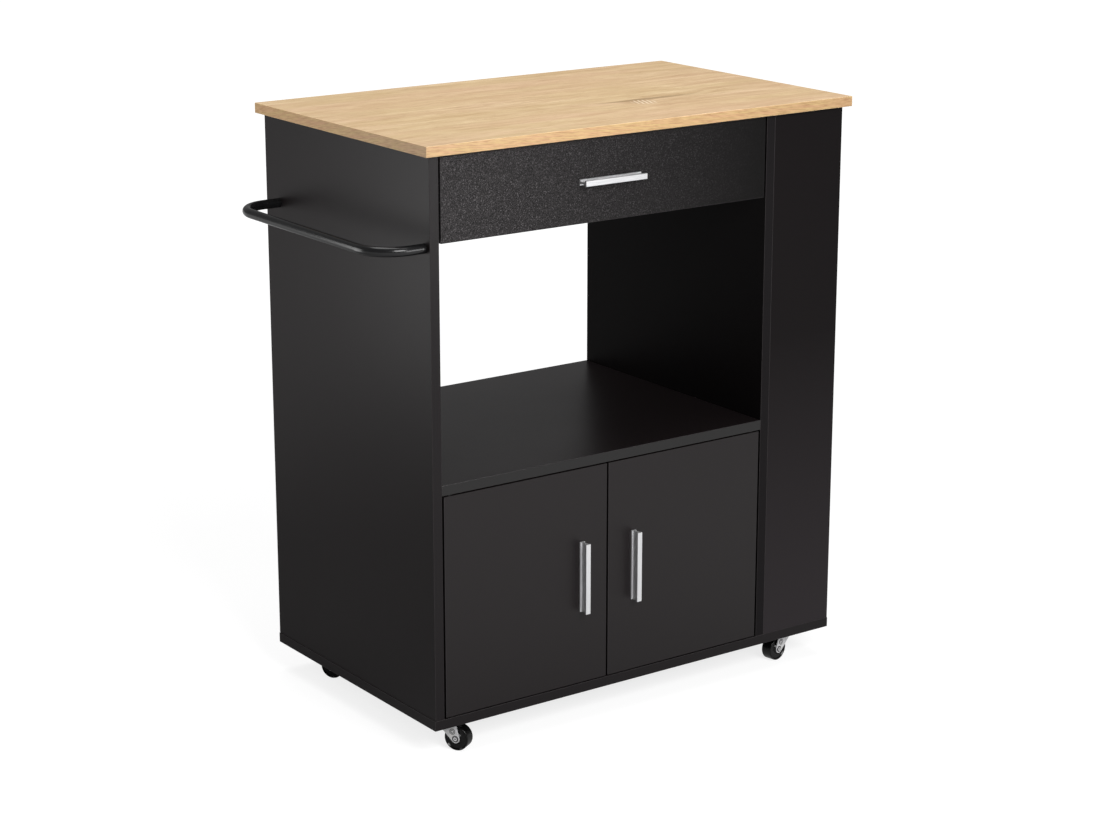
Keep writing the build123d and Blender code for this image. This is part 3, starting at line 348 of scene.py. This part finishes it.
def lacquer():
    """Gloss black powder coat with a slight orange peel."""
    m = Finish("black_powder_coat", Specular_IOR_Level=0.3, Coat_Weight=0.12, Coat_Roughness=0.12)
    peel = m.noise(420.0, detail=1.5)
    dust = m.noise(2200.0, detail=2.0)
    m.wear("Base Color", m.blend(m.spread(peel, 0.3, 0.7), linear(15, 15, 16), linear(24, 24, 25)))
    m.wear("Roughness", m.spread(dust, 0.3, 0.7, 0.17, 0.28))
    m.bump((peel, 0.0002, 0.25))
    return m.material


def moulded(name, dark, light, smooth, rough, relief, level=0.5):
    """Moulded plastic or a dipped coat, with slight mottling, flow marks and a fine skin. Its
    roughness goes from smooth to rough, relief is the skin's strength, level the specular one."""
    m = Finish(name, Specular_IOR_Level=level)
    flow = m.noise((45.0, 45.0, 120.0), detail=3.0, distortion=0.6)
    skin = m.noise(2400.0, detail=2.0)
    m.wear("Base Color", m.blend(m.spread(flow, 0.3, 0.7), dark, light))
    m.wear("Roughness", m.spread(flow, 0.3, 0.7, smooth, rough))
    m.bump((skin, 0.0001, relief), (flow, 0.0003, relief * 0.6))
    return m.material


def hardboard():
    """Thin back of the cupboard: smooth black foil inside, fibrous dark board behind."""
    m = Finish("hardboard_foiled", Specular_IOR_Level=0.3)
    fibre = m.noise((700.0, 700.0, 260.0), detail=4.0, roughness=0.65, distortion=1.0)
    pulp = m.noise(120.0, detail=4.0, roughness=0.6)
    foil = m.blend(m.spread(pulp, 0.3, 0.7), linear(30, 29, 29), linear(40, 39, 38))
    weave = m.blend(m.spread(fibre, 0.3, 0.7), linear(26, 24, 23), linear(50, 46, 43))
    rearward = m.spread(m.parts(m.normal)[1], -0.5, 0.5)
    m.wear("Base Color", m.blend(rearward, foil, weave))
    m.wear("Roughness", m.spread(fibre, 0.3, 0.7, 0.55, 0.75))
    m.bump((fibre, 0.0004, 0.4))
    return m.material


def beech():
    """Raw turned beech for the dowels."""
    m = Finish("beech_raw", Roughness=0.7, Specular_IOR_Level=0.25)
    ray = m.noise(260.0, detail=4.0, roughness=0.6)
    fleck = m.noise((1400.0, 500.0, 1400.0), detail=2.0)
    colour = m.blend(m.spread(ray, 0.3, 0.7), linear(196, 160, 120), linear(222, 188, 148))
    colour = m.blend(m.spread(fleck, 0.6, 0.75, 0.0, 0.4), colour, linear(160, 118, 80))
    m.wear("Base Color", colour)
    m.bump((ray, 0.0003, 0.4))
    return m.material


# The finish of each material slot
finishes = {
    "oak_laminate": oak(),
    "black_melamine": melamine("black_melamine_fine"),
    "black_grained_melamine": grained_front(),
    "hardboard": hardboard(),
    "drawer_board": melamine("drawer_board_foil", (linear(34, 33, 34), linear(46, 45, 46)),
                             pebble=800.0, relief=0.12, rough=0.45, level=0.35),
    "aluminium": aluminium("aluminium_upright", 2),
    "black_lacquer": lacquer(),
    "zinc_plate": zinc("zinc_passivated"),
    "runner_coating": moulded("runner_epoxy", linear(216, 215, 210), linear(232, 231, 227),
                              smooth=0.32, rough=0.45, relief=0.15),
    "nylon": moulded("nylon_natural", linear(222, 220, 208), linear(238, 236, 226),
                     smooth=0.35, rough=0.5, relief=0.2),
    "wheel_black": moulded("wheel_gloss", linear(6, 6, 6), linear(12, 12, 12),
                           smooth=0.16, rough=0.28, relief=0.12, level=0.25),
    "beech": beech(),
    "catch_case": moulded("catch_moulding", linear(28, 28, 29), linear(40, 40, 41),
                          smooth=0.35, rough=0.5, relief=0.2),
}

# Nodes with a finish of their own, in place of their slot's
side_melamine = melamine("black_melamine_side", level=0.15, band=linear(27, 24, 25))
door_melamine = melamine("black_melamine_door", relief=0.12, level=0.32)
special = {
    "left_side_panel": side_melamine,
    "base_board": side_melamine,
    "left_door": door_melamine,
    "right_door": door_melamine,
    # The shelf's near-black front and back edge colour is painted shade.
    "middle_shelf": melamine("black_melamine_shelf", relief=0.14, rough=0.34, level=0.44,
                             band=linear(7, 5, 5)),
    # The partition's darker blacks are painted shade in the niche. Its front edge band stays lighter,
    # as the lit edge.
    "partition_panel": melamine("black_melamine_inner", (linear(11, 9, 9), linear(16, 13, 14)),
                                rough=0.48, level=0.04, band=linear(27, 25, 26)),
    # The tower's darker blacks are painted shade, and its lighter foot is painted light.
    "tower_front_panel": melamine("black_melamine_tower", (linear(14, 11, 12), linear(20, 16, 17)),
                                  rough=0.42, level=0.09, painted_foot=linear(46, 42, 44)),
    "drawer_handle": aluminium("aluminium_level", 0),
    "door_pivot_pins": moulded("pins_blackened", linear(14, 14, 15), linear(24, 24, 25),
                               smooth=0.35, rough=0.5, relief=0.1),
}

# Casters: shade lines stand in for each fork's pressed boss and its axle's spun rivet head.
joints = {joint["name"]: joint for joint in frame["record"]["behaviour"]["joints"]}
for corner in ("front_left", "front_right", "rear_left", "rear_right"):
    swivel = Vector(joints[f"{corner}_swivel"]["pos_m"])
    roll = joints[f"{corner}_wheel_roll"]
    hub = Vector(roll["pos_m"])
    boss = swivel.lerp(hub, BOSS_SHARE) + Vector((0, 0, BOSS_RISE))
    fork_marks = [(boss, ring) for ring in BOSS_RINGS] + [(hub, RIVET_SEAT)]
    axle_marks = [(hub, ring) for ring in RIVET_RINGS]
    special[f"caster_fork_{corner}"] = zinc(f"zinc_fork_{corner}", roll["axis"], fork_marks)
    special[f"caster_axle_{corner}"] = zinc(f"zinc_axle_{corner}", roll["axis"], axle_marks)

slots = {piece["node"]: piece["material_slot"] for piece in frame["record"]["subparts"]}
for name, node in frame["nodes"].items():
    finish = special.get(name, finishes[slots[name]])
    node.data.materials.clear()
    node.data.materials.append(finish)


def floor_material():
    """Pale floor: white to the camera, where it still takes the cart's shadow, and plain
    pale grey, lit by the lamps, to everything else. Reflections show some of the white too."""
    material = bpy.data.materials.new("studio_floor")
    material.use_nodes = True
    tree = material.node_tree
    tree.nodes.clear()
    rays = tree.nodes.new("ShaderNodeLightPath")
    place = tree.nodes.new("ShaderNodeTexCoord")

    def add(kind, **values):
        node = tree.nodes.new("ShaderNode" + kind)
        for key, value in values.items():
            node.inputs[key].default_value = value
        return node

    def combined(operation, first, second):
        node = add("Math")
        node.operation = operation
        tree.links.new(first, node.inputs[0])
        tree.links.new(second, node.inputs[1])
        return node.outputs[0]

    def growing(centre, near, far, at_near, at_far):
        """A level that grows with the distance from a place on the floor."""
        distance = add("VectorMath")
        distance.operation = "DISTANCE"
        tree.links.new(place.outputs["Object"], distance.inputs[0])
        distance.inputs[1].default_value = centre
        level = add("MapRange", **{"From Min": near, "From Max": far, "To Min": at_near,
                                   "To Max": at_far})
        tree.links.new(distance.outputs["Value"], level.inputs["Value"])
        return level.outputs[0]

    seen_glow = growing(**SEEN_GLOW)
    strength = None
    # Reflections see painted shade: their glow is dim near a place at the cart's left rear.
    for ray, level in (("Is Camera Ray", seen_glow), ("Is Transmission Ray", seen_glow),
                       ("Is Glossy Ray", growing(**MIRRORED_GLOW))):
        share = combined("MULTIPLY", rays.outputs[ray], level)
        strength = share if strength is None else combined("MAXIMUM", strength, share)
    glow = add("Emission")
    tree.links.new(strength, glow.inputs["Strength"])
    seen = add("BsdfDiffuse", Color=(*[FLOOR_SHADOWED] * 3, 1.0))
    lit = add("BsdfDiffuse", Color=(*[FLOOR_GREY] * 3, 1.0))
    matt = add("MixShader")
    tree.links.new(rays.outputs["Is Camera Ray"], matt.inputs[0])
    tree.links.new(lit.outputs[0], matt.inputs[1])
    tree.links.new(seen.outputs[0], matt.inputs[2])
    both = add("AddShader")
    tree.links.new(matt.outputs[0], both.inputs[0])
    tree.links.new(glow.outputs[0], both.inputs[1])
    output = add("OutputMaterial")
    tree.links.new(both.outputs[0], output.inputs["Surface"])
    return material


def studio_sky():
    """White sky that the camera sees in full, and that lights the cart only faintly."""
    world = bpy.data.worlds.new("studio")
    world.use_nodes = True
    tree = world.node_tree
    sky = tree.nodes["Background"]
    sky.inputs["Color"].default_value = (1.0, 1.0, 1.0, 1.0)
    rays = tree.nodes.new("ShaderNodeLightPath")
    visible = tree.nodes.new("ShaderNodeMath")
    visible.operation = "MAXIMUM"
    tree.links.new(rays.outputs["Is Camera Ray"], visible.inputs[0])
    tree.links.new(rays.outputs["Is Transmission Ray"], visible.inputs[1])
    level = tree.nodes.new("ShaderNodeMapRange")
    level.inputs["To Min"].default_value = SKY_LIGHT
    level.inputs["To Max"].default_value = 1.0
    tree.links.new(visible.outputs[0], level.inputs["Value"])
    tree.links.new(level.outputs[0], sky.inputs["Strength"])
    return world


def softbox(name, place, target, width, height, power):
    """A soft rectangular lamp of some watts that faces target and that the camera doesn't see."""
    lamp = bpy.data.lights.new(name, "AREA")
    lamp.shape = "RECTANGLE"
    lamp.size = width
    lamp.size_y = height
    lamp.energy = power
    holder = bpy.data.objects.new(name, lamp)
    holder.location = place
    aim = Vector(target) - Vector(place)
    holder.rotation_euler = aim.to_track_quat("-Z", "Y").to_euler()
    holder.visible_camera = False
    bpy.context.scene.collection.objects.link(holder)


def photo_camera():
    """A plain camera at the photograph's viewing angle."""
    camera = bpy.data.cameras.new("photo_camera")
    camera.lens = CAMERA_LENS
    camera.sensor_width = SENSOR_WIDTH
    camera.clip_start = CLIP_NEAR
    camera.clip_end = CLIP_FAR
    holder = bpy.data.objects.new("photo_camera", camera)
    holder.location = CAMERA_PLACE
    holder.rotation_euler = (radians(90.0 - CAMERA_PITCH), 0.0, radians(-CAMERA_YAW))
    bpy.context.scene.collection.objects.link(holder)
    return holder


floor_mesh = bpy.data.meshes.new("studio_floor")
floor_mesh.from_pydata([(-FLOOR_HALF, -FLOOR_HALF, 0), (FLOOR_HALF, -FLOOR_HALF, 0),
                        (FLOOR_HALF, FLOOR_HALF, 0), (-FLOOR_HALF, FLOOR_HALF, 0)],
                       [], [(0, 1, 2, 3)])
floor = bpy.data.objects.new("studio_floor", floor_mesh)
floor.data.materials.append(floor_material())
bpy.context.scene.collection.objects.link(floor)

softbox("key_light", place=(-0.4, -3.2, 2.3), target=(0.0, 0.0, 0.5), width=1.8, height=1.4,
        power=105.0)
softbox("top_light", place=(0.2, 0.2, 3.0), target=(0.0, 0.0, 0.88), width=2.2, height=1.8,
        power=42.0)
softbox("side_light", place=(-0.95, 0.34, 0.68), target=(-0.33, -0.25, 0.62), width=0.42,
        height=0.6, power=2.9)
softbox("front_light", place=(0.0, -0.92, 0.76), target=(-0.40, -0.2, 0.80), width=0.35,
        height=0.3, power=2.2)

bpy.context.scene.world = studio_sky()
bpy.context.scene.camera = photo_camera()
bpy.context.scene.view_settings.view_transform = "Standard"
